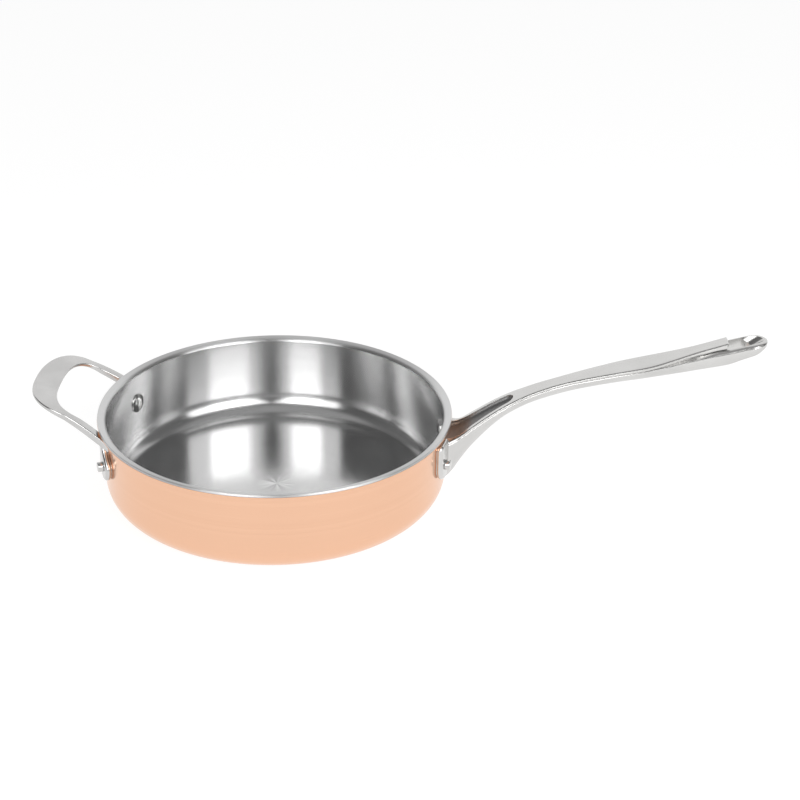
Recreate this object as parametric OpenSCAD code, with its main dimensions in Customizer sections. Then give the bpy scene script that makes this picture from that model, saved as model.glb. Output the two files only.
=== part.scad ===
// Saute pan in three bonded metal layers, with a long cast handle and a cast helper handle.
// Origin at the centre of the flat base, +Z up, +X along the long handle. Millimetres.

/* [Pan] */
// Diameter across the flared rim
rim_d = 270; // [200:5:320]
// Height from the flat base to the rim
pan_h = 68; // [58:1:100]
// Radius of the rounded corner between wall and base
base_r = 19.5; // [14:0.5:26]
// Thickness of the copper outer layer
copper_t = 0.4; // [0.3:0.1:0.8]
// Thickness of the aluminium core
core_t = 1.3; // [1:0.1:2]
// Thickness of the stainless lining
lining_t = 0.6; // [0.5:0.1:1]

/* [Pouring rim] */
// Radius of the bend under the flared rim
lip_bend_r = 1.1; // [0.9:0.1:3]
// Length of the straight flared part of the rim
lip_run = 3.6; // [3:0.2:6]
// Upward slope of the flared part in degrees
lip_slope = 12; // [6:1:20]

/* [Long handle] */
// Reach of the long handle beyond the pan wall
handle_reach = 235; // [210:5:260]
// Height gained by the long handle above the rim
handle_rise = 71.6; // [62:2:82]
// Width of the top deck at its narrowest
neck_w = 13.6; // [12:0.4:16]
// Width of the top deck at the middle of the grip
grip_w = 21; // [18:0.5:24]
// Width of the deck where it leaves the pan wall
root_w = 30; // [27:1:33]
// Depth of the cast root below its shoulder
root_depth = 27.5; // [25:0.5:29]
// Depth of the rounded belly below the shoulder at the neck
neck_depth = 7.8; // [6.5:0.1:9]
// Height of the raised deck above the shoulder
deck_step = 1.8; // [1.4:0.1:2.2]
// Length of the open trough from the pan wall
trough_len = 50; // [44:1:56]
// Depth of the open trough below the deck
trough_depth = 4.2; // [3:0.2:5]
// Outer width of the loop at the end of the grip
loop_w = 24; // [22:0.5:27]
// Width of the hanging slot
slot_w = 16; // [13:0.5:17]
// Length of the hanging slot
slot_len = 36; // [32:1:40]
// Length of solid metal beyond the slot
loop_tip = 11; // [9:0.5:13]

/* [Feet] */
// Angle from the handle line to each long handle rivet
foot_angle = 13; // [12.5:0.25:15]
// Half width of each long handle foot
foot_r = 9.5; // [9:0.5:11]
// Height of the long handle feet
foot_h = 30; // [28:0.5:32]
// Thickness of all feet against the wall
foot_t = 4.6; // [4:0.2:5.6]

/* [Helper handle] */
// Reach of the helper loop beyond the pan wall
helper_reach = 52.5; // [47:0.5:60]
// Height of the helper loop above the rim
helper_rise = 19.5; // [15:0.5:24]
// Outer width of the helper loop
helper_w = 96; // [92:1:100]
// Width of the outer bar of the helper loop
helper_bar = 19.5; // [16:0.5:22]
// Width of each arm of the helper loop
helper_arm = 8; // [7:0.5:9]
// Thickness of the outer bar of the helper loop
helper_t = 2.4; // [2.2:0.1:3.4]
// Extra thickness of each arm where it meets the wall
arm_extra = 2.8; // [1.6:0.2:3.4]
// Angle from the helper line to each helper rivet
helper_angle = 23.8; // [23.4:0.1:24.2]
// Half width of each helper foot
helper_foot_r = 11; // [10:0.5:12]

/* [Rivets] */
// Distance of the rivets below the rim
rivet_drop = 26.5; // [25:0.5:28]
// Diameter of the rivet shank
shank_d = 6; // [5:0.2:6.4]
// Diameter of the domed head inside the pan
head_d = 15; // [12:0.5:16]
// Height of the domed head
head_h = 2.3; // [1.6:0.1:3]
// Height of the straight edge under the dome
head_edge = 1; // [0.4:0.1:1.4]
// Diameter of the closed outer end
tail_d = 7.6; // [7:0.2:9]
// Height of the closed outer end above the foot
tail_h = 3.8; // [3:0.2:4.8]

/* [Fits] */
// Gap between parts that touch
fit_gap = 0.05; // [0.03:0.01:0.1]
// Clearance of the rivet shank in its bore, on the diameter
bore_clear = 0.2; // [0.1:0.05:0.3]

/* [Hidden] */

$fn = 128;
copper = [0.93, 0.72, 0.58];
aluminium = [0.80, 0.81, 0.83];
stainless = [0.74, 0.74, 0.73];
cast_steel = [0.80, 0.80, 0.79];

wall_t = copper_t + core_t + lining_t;
lip_turn = 90 - lip_slope;
bend_top_r = lip_bend_r + wall_t;
wall_out = rim_d / 2 - lip_bend_r * (1 - sin(lip_slope)) - lip_run * cos(lip_slope);
wall_in = wall_out - wall_t;
bend_z = pan_h - bend_top_r * cos(lip_slope) - lip_run * sin(lip_slope);
rivet_z = pan_h - rivet_drop;
far = 60;

// Stations along the long handle are shares of its reach, from 0 at the wall to 1 at the tip
first_at = -0.034;
neck_at = 0.332;
grip_at = 0.617;
loop_at = 0.809;
tongue_at = 0.877;
flare_at = [-0.002, 0.055];
rail_at = [0.021, 0.085];
belly_at = [0.021, 0.17];
full_at = [0.638, tongue_at];
crown_rise_at = [0.766, 0.851];
deepen_at = [0, 0.17];
tail_r = loop_w / 2;
tail_at = 1 - tail_r / handle_reach;
trough_at = trough_len / handle_reach;
bevel = 0.8;
ledge = 0.8;
edge_r = 0.9;
tongue_gap = 1.2;
belly_steps = 16;
overlap = 1;

// Share of a rounded edge that is cut away at its middle
arc_mid = 1 - sqrt(0.5);

// Height of the deck over the rim along the long handle, as a share of the rise
deck_line = [[first_at, -0.205], [0.021, -0.17], [0.04, -0.147], [0.06, -0.102],
    [0.085, -0.036], [0.149, 0.12], [0.213, 0.25], [0.298, 0.382], [0.404, 0.507],
    [0.532, 0.63], [0.66, 0.742], [0.826, 0.93], [tongue_at, 0.99]];

// Height of the shoulder over the rim beyond the neck, where it falls away from the deck
shoulder_line = [[0.404, 0.507], [0.532, 0.625], [0.66, 0.728], [0.826, 0.89],
    [tongue_at, 0.934], [0.936, 0.99], [0.97, 1.014], [1, 1.025]];

// Share of the way from the root depth to the neck depth
belly_line = [[first_at, -0.56], [0, -0.3], [0.021, -0.1], [0.043, 0.185], [0.064, 0.39],
    [0.089, 0.55], [0.128, 0.72], [0.162, 0.85], [0.196, 0.94], [0.255, 1], [0.34, 1]];

// Depth of the grip as a multiple of the neck depth, shallow again at the tip
tail_line = [[0.34, 1], [0.468, 1], [0.766, 1.3], [tongue_at, 1.4], [0.928, 1.18],
    [0.966, 0.95], [0.983, 0.66], [1, 0.34]];

// Share of the way from the root width to the neck width
width_line = [[first_at, 0], [0.047, 0], [0.102, 0.27], [0.153, 0.46], [0.204, 0.67],
    [0.255, 0.86], [neck_at, 1]];

// Rails left beside the trough, thinnest at the pan wall, and the radius of the trough's tip
rail_root = 1.2;
rail_end = 3.7;
trough_tip = 5;
trough_corner = 2;

// Share of the way from a to b with a soft start and end
function soft(a, b, s) = let (t = min(max((s - a) / (b - a), 0), 1)) t * t * (3 - 2 * t);
function mix(p, q, t) = p + (q - p) * t;

// Smooth curve through knots [position, value], with slopes taken from the neighbours
function knot_slope(k, i) =
    let (a = max(i - 1, 0), b = min(i + 1, len(k) - 1))
    (k[b][1] - k[a][1]) / (k[b][0] - k[a][0]);
function knot_at(k, s, i = 0) = (i >= len(k) - 2 || s < k[i + 1][0]) ? i : knot_at(k, s, i + 1);
function curve(k, s) =
    let (i = knot_at(k, s), h = k[i + 1][0] - k[i][0], t = (s - k[i][0]) / h)
    (2 * t ^ 3 - 3 * t ^ 2 + 1) * k[i][1] + (t ^ 3 - 2 * t ^ 2 + t) * h * knot_slope(k, i)
    + (3 * t ^ 2 - 2 * t ^ 3) * k[i + 1][1] + (t ^ 3 - t ^ 2) * h * knot_slope(k, i + 1);

// Solid skinned over a list of closed rings with equal point counts
module skin(rings) {
    n = len(rings[0]);
    m = len(rings);
    polyhedron(
        points = [for (r = rings) each r],
        faces = concat(
            [[for (j = [n - 1:-1:0]) j]],
            [for (i = [0:m - 2], j = [0:n - 1])
                let (a = i * n + j, b = i * n + (j + 1) % n)
                each [[a, b, b + n], [a, b + n, a + n]]],
            [[for (j = [0:n - 1]) (m - 1) * n + j]]
        )
    );
}

// Wall section of a layer between two depths measured inward from the outer surface
module layer_profile(d0, d1, edge) {
    corner = wall_out - base_r;
    translate([0, d0])
        square([corner + fit_gap, d1 - d0]);
    intersection() {
        translate([corner, base_r])
            difference() {
                circle(r = base_r - d0);
                circle(r = base_r - d1);
            }
        translate([corner, 0])
            square(base_r);
    }
    translate([wall_out - d1, base_r - fit_gap])
        square([d1 - d0, bend_z - base_r + 2 * fit_gap]);
    translate([wall_out + lip_bend_r, bend_z]) {
        intersection() {
            difference() {
                circle(r = lip_bend_r + d1);
                circle(r = lip_bend_r + d0);
            }
            rotate(180 - lip_turn)
                square(bend_top_r);
            translate([-bend_top_r, 0])
                square(bend_top_r);
        }
        rotate(lip_slope)
            translate([-fit_gap, lip_bend_r + d0])
                square([lip_run + fit_gap - edge, d1 - d0]);
    }
}

// Places children at both rivets of one handle, their Z pointing out of the pan
module at_rivets(angle, side) {
    for (m = [-1, 1])
        rotate(side + m * angle)
            translate([0, 0, rivet_z])
                rotate([0, 90, 0])
                    children();
}

module bores(angle, side) {
    at_rivets(angle, side)
        translate([0, 0, wall_in - far / 2])
            cylinder(d = shank_d + bore_clear, h = far);
}

module layer(d0, d1, edge) {
    difference() {
        rotate_extrude()
            layer_profile(d0, d1, edge);
        bores(foot_angle, 0);
        bores(helper_angle, 180);
    }
}

module copper_skin() {
    color(copper)
        layer(0, copper_t, 0);
}

module aluminium_core() {
    color(aluminium)
        layer(copper_t + fit_gap, copper_t + core_t, lining_t + 2 * fit_gap);
}

// The lining is turned over the end of the core, so the rim shows a steel edge
module steel_lining() {
    color(stainless)
        difference() {
            rotate_extrude() {
                layer_profile(copper_t + core_t + fit_gap, wall_t, 0);
                translate([wall_out + lip_bend_r, bend_z])
                    rotate(lip_slope)
                        translate([lip_run - lining_t, lip_bend_r + copper_t + fit_gap])
                            square([lining_t, wall_t - copper_t - fit_gap]);
            }
            bores(foot_angle, 0);
            bores(helper_angle, 180);
        }
}

// Outside of the wall and the flared rim, for seating the feet and clearing the arms
module pan_space() {
    cylinder(r = wall_out + fit_gap, h = pan_h);
    translate([0, 0, bend_z + lip_bend_r * cos(lip_slope) - fit_gap])
        cylinder(r = rim_d / 2 + fit_gap, h = pan_h);
}

// Plate of even thickness bent round the wall
module foot_shell() {
    difference() {
        cylinder(r = wall_out + foot_t, h = pan_h);
        pan_space();
    }
}

// Long handle shape at station s
function handle_x(s) = wall_out + s * handle_reach;
function deck_z(s) = pan_h + handle_rise * curve(deck_line, s);
function shoulder_z(s) =
    (s < shoulder_line[0][0] ? deck_z(s) : pan_h + handle_rise * curve(shoulder_line, s))
    - deck_step;
root_spread = 6;
function between(span, s) = soft(span[0], span[1], s);
function root_flare(s) = root_spread * (1 - between(flare_at, s));
function neck_half(s) = mix(root_w, neck_w, curve(width_line, min(s, neck_at))) / 2;
function deck_half(s) =
    s < neck_at ? neck_half(s) + root_flare(s)
    : s < grip_at ? mix(neck_w, grip_w, soft(neck_at, grip_at, s)) / 2
    : mix(grip_w / 2, slot_w / 2 - tongue_gap - bevel, soft(grip_at, loop_at, s));
function tail_round(s) =
    let (q = max(s - tail_at, 0) / (1 - tail_at)) sqrt(max(1 - q * q, 0));
function body_half(s) = tail_round(s) * (s < grip_at
    ? deck_half(s) + bevel + ledge
    : mix(grip_w / 2 + bevel + ledge, tail_r, soft(grip_at, loop_at, s)));
function belly_depth(s) = s < tail_line[0][0]
    ? mix(root_depth, neck_depth, curve(belly_line, s))
    : neck_depth * curve(tail_line, s);

// Fullness of the belly section: 2 is an ellipse, higher values are squarer
root_full = 3.4;
neck_full = 2.2;
tail_full = 4.4;
function belly_full(s) = s < neck_at
    ? mix(root_full, neck_full, between(belly_at, s))
    : mix(neck_full, tail_full, between(full_at, s));

// Rise of the middle of the loop over its shoulders
crown_h = 1.6;
crown_at = 0.7;
function crown(s) = crown_h * between(crown_rise_at, s) * tail_round(s);

// Ring of the body: rounded shoulders, nearly flat top and a full belly
function body_ring(s) =
    let (
        x = handle_x(s),
        z = shoulder_z(s),
        w = body_half(s),
        e = min(edge_r, w / 2),
        d = belly_depth(s) - e,
        p = 2 / belly_full(s)
    )
    concat(
        [[x, -w + arc_mid * e, z - arc_mid * e], [x, -w + e, z]],
        [[x, -crown_at * w, z + crown(s)], [x, crown_at * w, z + crown(s)]],
        [[x, w - e, z], [x, w - arc_mid * e, z - arc_mid * e]],
        [for (i = [0:belly_steps])
            let (a = 180 * i / belly_steps, c = cos(a))
            [x, w * sign(c) * abs(c) ^ p, z - e - d * abs(sin(a)) ^ p]]
    );

// Ring of the raised deck with bevelled edges, cut in a little at its free end
function deck_ring(s, cut = 0) =
    let (
        x = handle_x(s),
        z = deck_z(s) - cut,
        w = deck_half(s) - cut,
        f = shoulder_z(s) - overlap
    )
    [[x, -w - bevel, f], [x, -w - bevel, z - bevel], [x, -w, z],
        [x, w, z], [x, w + bevel, z - bevel], [x, w + bevel, f]];

// Half width of the trough, closed by a round at its tip
trough_draft = 1;
trough_extra = 0.3;
tip_at = (trough_len - trough_tip) / handle_reach;
function trough_half(s) =
    let (q = min(max(s - tip_at, 0) / (trough_at - tip_at), 1))
    sqrt(1 - q * q) * (neck_half(s) - mix(rail_root, rail_end, between(rail_at, s)));

// Ring of the trough cutter: drafted sides with rounded lower corners, deeper at the root
function trough_ring(s) =
    let (
        x = handle_x(s),
        z = deck_z(s),
        w = max(trough_half(s), fit_gap),
        d = trough_depth * (1 + trough_extra * (1 - between(deepen_at, s))),
        draft = min(trough_draft, w / 2),
        b = w - draft,
        c = min(trough_corner, b / 2),
        side = [[b - c, -d], [b - arc_mid * c, arc_mid * c - d], [b + draft * c / d, c - d],
            [w + draft, d]]
    )
    concat([for (q = side) [x, -q[0], z + q[1]]],
        [for (i = [len(side) - 1:-1:0]) [x, side[i][0], z + side[i][1]]]);

// Stations are close together where the shape turns quickly
step_root = 0.0085;
step_fine = 0.0128;
step_coarse = 0.022;
join_at = 0.272;
belly_count = 31;
trough_count = 14;
tip_turns = [for (a = [9:9:81]) a];
last_turn = 86;
fine_stations = concat(
    [for (s = [first_at:step_root:rail_at[1] - step_root / 4]) s],
    [for (s = [rail_at[1]:step_fine:join_at - step_fine / 4]) s]
);
body_stations = concat(
    fine_stations,
    [for (i = [0:belly_count]) mix(join_at, tail_at, i / belly_count)],
    [for (a = concat(tip_turns, [last_turn])) mix(tail_at, 1, sin(a))]
);
deck_stations = concat(
    fine_stations,
    [for (s = [join_at:step_coarse:tongue_at - step_coarse / 4]) s]
);
trough_stations = concat(
    [for (i = [0:trough_count]) mix(first_at, tip_at, i / trough_count)],
    [for (a = tip_turns) mix(tip_at, trough_at, sin(a))]
);

// Slot through the loop, with a scoop that runs out of its far end
scoop_angle = 39;
module hang_slot() {
    x1 = handle_x(1) - loop_tip;
    mid = x1 - slot_w / 2;
    translate([0, 0, pan_h])
        linear_extrude(handle_rise + far) {
            translate([mid, 0])
                circle(d = slot_w);
            translate([x1 - slot_len, -slot_w / 2])
                square([slot_len - slot_w / 2, slot_w]);
        }
    translate([mid, 0, shoulder_z(1 - (loop_tip + slot_w / 2) / handle_reach) + crown_h])
        rotate([0, 90 - scoop_angle, 0])
            cylinder(d = slot_w, h = far);
}

// Outline of one long handle foot, seen along the handle, with a rounded lower end
foot_drop = 2.5;
foot_corner = 4;
module foot_outline() {
    mid = wall_out * sin(foot_angle);
    round_z = rivet_z - foot_drop;
    side_h = foot_h - foot_r - foot_corner;
    translate([0, round_z])
        square([mid, deck_z(0) - bevel - ledge - round_z]);
    translate([mid, round_z]) {
        circle(r = foot_r);
        translate([-foot_r, 0])
            square([2 * foot_r, side_h]);
        translate([foot_corner - foot_r, 0])
            square([2 * (foot_r - foot_corner), side_h + foot_corner]);
        for (m = [-1, 1])
            translate([m * (foot_r - foot_corner), side_h])
                circle(r = foot_corner);
    }
}

module long_handle_feet() {
    intersection() {
        foot_shell();
        rotate([90, 0, 90])
            linear_extrude(rim_d)
                for (m = [0, 1])
                    mirror([m, 0])
                        foot_outline();
    }
}

// Room for the riveting tool beside the root
notch_r = foot_r - 1;
module tool_notch() {
    at_rivets(foot_angle, 0)
        translate([0, 0, wall_out + foot_t]) {
            cylinder(r = notch_r, h = far);
            translate([-far / 2, -notch_r, 0])
                cube([far / 2, 2 * notch_r, far]);
        }
}

module long_handle() {
    color(cast_steel)
        difference() {
            union() {
                difference() {
                    skin([for (s = body_stations) body_ring(s)]);
                    hang_slot();
                    tool_notch();
                    pan_space();
                }
                difference() {
                    skin(concat([for (s = deck_stations) deck_ring(s)],
                        [deck_ring(tongue_at, bevel)]));
                    tool_notch();
                    pan_space();
                }
                long_handle_feet();
            }
            skin([for (s = trough_stations) trough_ring(s)]);
            bores(foot_angle, 0);
        }
}

// Helper loop: the arms rise from the wall and the outer bar lies level
helper_level = 3.5;
helper_sweep = 1.7;
outer_mid = 20;
inner_mid = 10;
outer_full = 2.35;
inner_full = 2.8;
arm_flare = 0.19;
arm_turn = 26;
arm_end = -16;
strap_edge = 0.9;
function helper_z(s) =
    let (q = max(1 - s / (helper_reach - helper_level), 0))
    pan_h + helper_rise * (1 - q ^ helper_sweep);

// Point on one edge of the strap: a straight flared arm outside 0 to 180, a full arc inside
function loop_arm(t, mid, half) =
    let (s = mix(mid, arm_end, t / arm_turn)) [s, half + arm_flare * (mid - s)];
function loop_bend(t, end, mid, half, full) =
    let (c = cos(t))
    [mid + (end - mid) * abs(sin(t)) ^ (2 / full), half * sign(c) * abs(c) ^ (2 / full)];
function loop_edge(t, end, mid, half, full) =
    t < 0 ? loop_arm(-t, mid, half)
    : t > 180 ? let (p = loop_arm(t - 180, mid, half)) [p[0], -p[1]]
    : loop_bend(t, end, mid, half, full);
function on_helper(p) = [-wall_out - p[0], p[1], helper_z(p[0])];
function outer_at(t) =
    on_helper(loop_edge(t, helper_reach, outer_mid, helper_w / 2, outer_full));
function inner_at(t) =
    on_helper(loop_edge(t, helper_reach - helper_bar, inner_mid,
        helper_w / 2 + arm_flare * (outer_mid - inner_mid) - helper_arm, inner_full));
function unit(v) = v / norm(v);

// Ring across the strap, with rounded edges
function strap_ring(t) =
    let (
        a = inner_at(t),
        b = outer_at(t),
        along = unit(outer_at(t + 1) + inner_at(t + 1) - outer_at(t - 1) - inner_at(t - 1)),
        out = unit(b - a),
        up = unit(cross(along, out)),
        w = norm(b - a),
        k = sign(up[2]),
        e = strap_edge,
        c = arc_mid * e,
        s = -wall_out - (a[0] + b[0]) / 2,
        h = helper_t + arm_extra * (1 - soft(arm_end / 2, helper_reach - helper_bar / 2, s))
    )
    [for (q = [[e, 0], [w - e, 0], [w - c, -c], [w, -e], [w, e - h], [w - c, c - h],
            [w - e, -h], [e, -h], [c, c - h], [0, e - h], [0, -e], [c, -c]])
        a + out * q[0] + up * k * q[1]];

strap_stations = concat([for (t = [180 + arm_turn:-4:182]) t], [for (t = [180:-4:0]) t],
    [for (t = [-2:-4:-arm_turn]) t]);

// Outline of a helper foot seen from outside, drawn in towards its arm at the top
neck_edge = -0.8;
neck_steps = 8;
module helper_foot_outline() {
    neck_z = bend_z - lip_bend_r;
    translate([0, rivet_z])
        circle(r = helper_foot_r);
    polygon(concat(
        [[-helper_foot_r, rivet_z], [neck_edge - helper_arm - 1, neck_z]],
        [for (i = [0:neck_steps])
            [mix(neck_edge, helper_foot_r, soft(0, 1, i / neck_steps)),
                mix(neck_z, rivet_z, i / neck_steps)]]
    ));
}

module helper_feet() {
    intersection() {
        foot_shell();
        for (m = [0, 1])
            mirror([0, m, 0])
                rotate(180 - helper_angle)
                    rotate([90, 0, 90])
                        linear_extrude(rim_d)
                            mirror([1, 0])
                                helper_foot_outline();
    }
}

module helper_handle() {
    color(cast_steel)
        difference() {
            union() {
                difference() {
                    skin([for (t = strap_stations) strap_ring(t)]);
                    pan_space();
                }
                helper_feet();
            }
            bores(helper_angle, 180);
        }
}

// Rivet with its Z along the axis: domed head inside, shank, closed end outside
module rivet() {
    dome_h = head_h - head_edge;
    dome_r = (head_d ^ 2 / 4 + dome_h ^ 2) / (2 * dome_h);
    seat = wall_out + foot_t + fit_gap;
    chamfer = 0.7;
    intersection() {
        translate([0, 0, wall_in - head_h + dome_r])
            sphere(r = dome_r);
        translate([0, 0, wall_in - head_h])
            cylinder(d = head_d, h = head_h + overlap);
        translate([-rivet_z, 0, 0])
            rotate([0, 90, 0])
                cylinder(r = wall_in - fit_gap, h = pan_h);
    }
    translate([0, 0, wall_in - head_h / 2])
        cylinder(d = shank_d, h = seat - wall_in + head_h / 2 + overlap);
    translate([0, 0, seat])
        cylinder(d = tail_d, h = tail_h - chamfer);
    translate([0, 0, seat + tail_h - chamfer])
        cylinder(d1 = tail_d, d2 = tail_d - 2 * chamfer, h = chamfer);
}

module long_handle_rivets() {
    color(stainless)
        at_rivets(foot_angle, 0)
            rivet();
}

module helper_handle_rivets() {
    color(stainless)
        at_rivets(helper_angle, 180)
            rivet();
}

copper_skin();
aluminium_core();
steel_lining();
long_handle();
helper_handle();
long_handle_rivets();
helper_handle_rivets();
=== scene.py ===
"""Looks of the saute pan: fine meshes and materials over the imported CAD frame."""

import math

import bpy
import bmesh
from mathutils import Matrix, Vector
from mathutils.bvhtree import BVHTree
from mathutils.geometry import barycentric_transform


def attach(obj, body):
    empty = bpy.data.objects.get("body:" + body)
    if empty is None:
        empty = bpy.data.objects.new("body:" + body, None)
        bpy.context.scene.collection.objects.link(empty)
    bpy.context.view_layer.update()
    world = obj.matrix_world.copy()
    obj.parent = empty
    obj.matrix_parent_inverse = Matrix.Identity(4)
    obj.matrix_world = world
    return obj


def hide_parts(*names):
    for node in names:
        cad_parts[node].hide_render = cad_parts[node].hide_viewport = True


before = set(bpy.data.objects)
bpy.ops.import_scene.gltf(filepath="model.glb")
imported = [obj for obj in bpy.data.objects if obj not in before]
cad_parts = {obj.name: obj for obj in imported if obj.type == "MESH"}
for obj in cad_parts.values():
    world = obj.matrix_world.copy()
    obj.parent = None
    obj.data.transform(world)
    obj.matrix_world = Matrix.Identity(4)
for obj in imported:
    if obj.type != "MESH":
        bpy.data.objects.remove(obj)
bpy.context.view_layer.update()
MM = 0.001

# Sizes of the pan, the same as in the CAD part, in millimetres
RIM_D, PAN_H, BASE_R = 270.0, 68.0, 19.5
COPPER_T, CORE_T, LINING_T = 0.4, 1.3, 0.6
LIP_BEND_R, LIP_RUN, LIP_SLOPE = 1.1, 3.6, math.radians(12)
GAP = 0.05
WALL_T = COPPER_T + CORE_T + LINING_T
WALL_OUT = RIM_D / 2 - LIP_BEND_R * (1 - math.sin(LIP_SLOPE)) - LIP_RUN * math.cos(LIP_SLOPE)
WALL_IN = WALL_OUT - WALL_T
BEND_TOP = LIP_BEND_R + WALL_T
BEND_Z = PAN_H - BEND_TOP * math.cos(LIP_SLOPE) - LIP_RUN * math.sin(LIP_SLOPE)
RIVET_Z = PAN_H - 26.5
FOOT_ANGLE, HELPER_ANGLE = 13.0, 23.8
FOOT_T = 4.6
# Length by which cutters stand clear of the part, and a full turn
FAR, TURN = 60.0, 2 * math.pi


# Mesh helpers

# Millimetres within which points merge, and within which a face or corner lies on a whole shape
MERGE_GAP, FACE_GAP, CORNER_GAP = 0.01, 0.03, 0.1
# Least agreement of two facings, and share of the way in from a corner at which it is looked up
SAME_FACING, NEAR_FACING, INWARD = 0.97, 0.9, 0.03
# Degrees above which an edge stays sharp
CAST_SHARP, TURNED_SHARP = 34.0, 40.0


def new_object(name, verts, faces):
    mesh = bpy.data.meshes.new(name)
    mesh.from_pydata(verts, [], faces)
    mesh.update()
    obj = bpy.data.objects.new(name, mesh)
    bpy.context.scene.collection.objects.link(obj)
    return obj


def bake(obj):
    """Turns the modifiers of an object into its mesh."""
    bpy.context.view_layer.update()
    graph = bpy.context.evaluated_depsgraph_get()
    mesh = bpy.data.meshes.new_from_object(obj.evaluated_get(graph))
    old = obj.data
    obj.modifiers.clear()
    obj.data = mesh
    bpy.data.meshes.remove(old)


def combine(obj, operation, *tools):
    """Cuts or joins an object with each tool in turn, and removes the tools."""
    for tool in tools:
        step = obj.modifiers.new("combine", "BOOLEAN")
        step.object = tool
        step.operation = operation
        step.solver = "EXACT"
    bake(obj)
    for tool in tools:
        bpy.data.objects.remove(tool)


def skin(name, rings):
    """Solid skinned over closed rings with equal point counts, with flat caps."""
    n, m = len(rings[0]), len(rings)
    verts = [p for ring in rings for p in ring]
    faces = [list(range(n - 1, -1, -1)), [(m - 1) * n + j for j in range(n)]]
    for i in range(m - 1):
        for j in range(n):
            k = (j + 1) % n
            faces.append([i * n + j, i * n + k, (i + 1) * n + k, (i + 1) * n + j])
    obj = new_object(name, verts, faces)
    outward(obj)
    return obj


def outward(obj):
    """Turns all faces of a closed mesh outward, also where the first guess is inside out."""
    shape = bmesh.new()
    shape.from_mesh(obj.data)
    bmesh.ops.recalc_face_normals(shape, faces=shape.faces)
    if shape.calc_volume(signed=True) < 0:
        bmesh.ops.reverse_faces(shape, faces=shape.faces)
    shape.to_mesh(obj.data)
    shape.free()


def lathe(name, outline, steps):
    """Turns a closed outline of (radius, height) points about Z."""
    verts, columns = [], []
    for r, z in outline:
        if r < 1e-9:
            columns.append([len(verts)] * steps)
            verts.append((0, 0, z))
        else:
            start = len(verts)
            columns.append([start + k for k in range(steps)])
            verts += [(r * math.cos(TURN * k / steps), r * math.sin(TURN * k / steps), z)
                      for k in range(steps)]
    faces = []
    for i in range(len(outline)):
        a, b = columns[i], columns[(i + 1) % len(outline)]
        if a[0] == a[-1] and b[0] == b[-1]:
            continue
        for k in range(steps):
            q = (k + 1) % steps
            face = []
            for v in (a[k], a[q], b[q], b[k]):
                if v not in face:
                    face.append(v)
            faces.append(face)
    obj = new_object(name, verts, faces)
    outward(obj)
    return obj


def finish_mesh(obj, angle=CAST_SHARP):
    """Clears slivers, turns millimetres into metres and sets smooth shading with sharp edges."""
    shape = bmesh.new()
    shape.from_mesh(obj.data)
    bmesh.ops.remove_doubles(shape, verts=shape.verts, dist=MERGE_GAP)
    bmesh.ops.dissolve_degenerate(shape, dist=MERGE_GAP, edges=shape.edges)
    bmesh.ops.triangulate(shape, faces=shape.faces)
    shape.to_mesh(obj.data)
    shape.free()
    obj.data.transform(Matrix.Scale(MM, 4))
    smooth(obj, angle)
    return obj


def smooth(obj, angle=CAST_SHARP):
    """Smooth shading with sharp edges above an angle in degrees."""
    for face in obj.data.polygons:
        face.use_smooth = True
    obj.data.set_sharp_from_angle(angle=math.radians(angle))
    obj.data.update()


def true_normals(obj, *shapes):
    """Gives each face corner the smooth normal of the whole shape that its face came from."""
    mesh = obj.data
    normals = [corner.vector.copy() for corner in mesh.corner_normals]
    for shape in shapes:
        shape.data.transform(Matrix.Scale(MM, 4))
        smooth(shape)
        whole = shape.data
        whole.calc_loop_triangles()
        points = [v.co.copy() for v in whole.vertices]
        parts = [tuple(part.vertices) for part in whole.loop_triangles]
        ends = [[whole.corner_normals[i].vector.copy() for i in part.loops]
                for part in whole.loop_triangles]
        tree = BVHTree.FromPolygons(points, parts)
        for face in mesh.polygons:
            facing = tree.find_nearest(face.center, FACE_GAP * MM)[1]
            if facing is None or abs(facing.dot(face.normal)) < SAME_FACING:
                continue
            side = math.copysign(1, facing.dot(face.normal))
            for i in face.loop_indices:
                corner = mesh.vertices[mesh.loops[i].vertex_index].co
                corner = corner.lerp(face.center, INWARD)
                spot, near, k, _ = tree.find_nearest(corner, CORNER_GAP * MM)
                if near is None or near.dot(facing) < NEAR_FACING:
                    continue
                there = [points[v] for v in parts[k]]
                normal = barycentric_transform(spot, *there, *ends[k])
                if normal.length > 0.5:
                    normals[i] = side * normal.normalized()
        bpy.data.objects.remove(shape)
    mesh.normals_split_custom_set(normals)


def soft(a, b, s):
    """Rises smoothly from 0 at a to 1 at b."""
    t = min(max((s - a) / (b - a), 0), 1)
    return t * t * (3 - 2 * t)


def mix(p, q, t):
    return p + (q - p) * t


def curve(knots, s):
    """Smooth curve through knots [position, value], as in the CAD part."""
    def slope(i):
        a, b = max(i - 1, 0), min(i + 1, len(knots) - 1)
        return (knots[b][1] - knots[a][1]) / (knots[b][0] - knots[a][0])
    i = 0
    while i < len(knots) - 2 and s >= knots[i + 1][0]:
        i += 1
    h = knots[i + 1][0] - knots[i][0]
    t = (s - knots[i][0]) / h
    return ((2 * t ** 3 - 3 * t ** 2 + 1) * knots[i][1] + (t ** 3 - 2 * t ** 2 + t) * h * slope(i)
            + (3 * t ** 2 - 2 * t ** 3) * knots[i + 1][1] + (t ** 3 - t ** 2) * h * slope(i + 1))


# Layers of the pan

BASE_RINGS = (4.0, 12.0, 24.0, 40.0, 60.0, 80.0, 98.0)
CORNER_STEPS, WALL_STEPS, BEND_STEPS, TURNED_STEPS = 24, 8, 12, 288
RIM_ROUND, RIM_LOW_ROUND = 0.5, 0.25


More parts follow.
